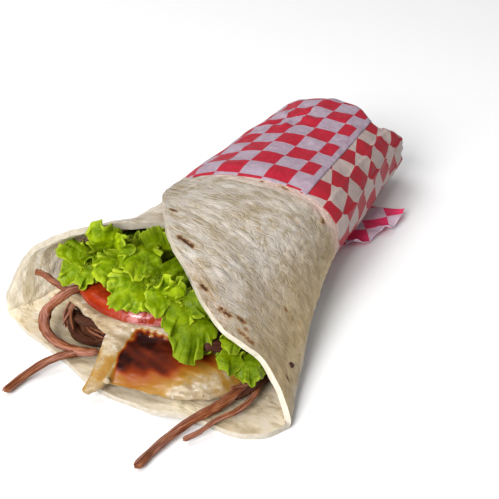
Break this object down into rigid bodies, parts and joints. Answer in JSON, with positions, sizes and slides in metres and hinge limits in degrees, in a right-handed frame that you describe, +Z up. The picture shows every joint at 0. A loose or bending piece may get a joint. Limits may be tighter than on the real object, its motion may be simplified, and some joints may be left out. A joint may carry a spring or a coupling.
{
  "type": "beef wrap",
  "caption": "Flour tortilla rolled into a flaring wrap around shredded beef, chicken, tomato and lettuce, its rear half in checked paper folded shut.",
  "frame": {"origin": "on the table, under the middle of the wrap's outline", "axes": "+Y along the roll from its open mouth to its wrapped end, +Z up from the table, +X to the right seen from the mouth"},
  "size_m": [0.1214, 0.2232, 0.0461],
  "materials": {
    "tortilla": "floury, with browned spots",
    "paper": "thin waxed paper, red and white checks",
    "chicken": "seared brown with pale torn flesh",
    "tomato": "wet, red",
    "beef": "moist brown fibres",
    "lettuce": "fresh yellow green leaf"
  },
  "bodies": {
    "root": {"tortilla": "tortilla", "paper_wrapper": "paper", "chicken_piece": "chicken", "tomato_slice": "tomato", "shredded_beef": "beef", "lettuce_leaf_left": "lettuce", "lettuce_leaf_upper": "lettuce", "lettuce_leaf_middle": "lettuce", "lettuce_leaf_right": "lettuce"}
  },
  "joints": []
}
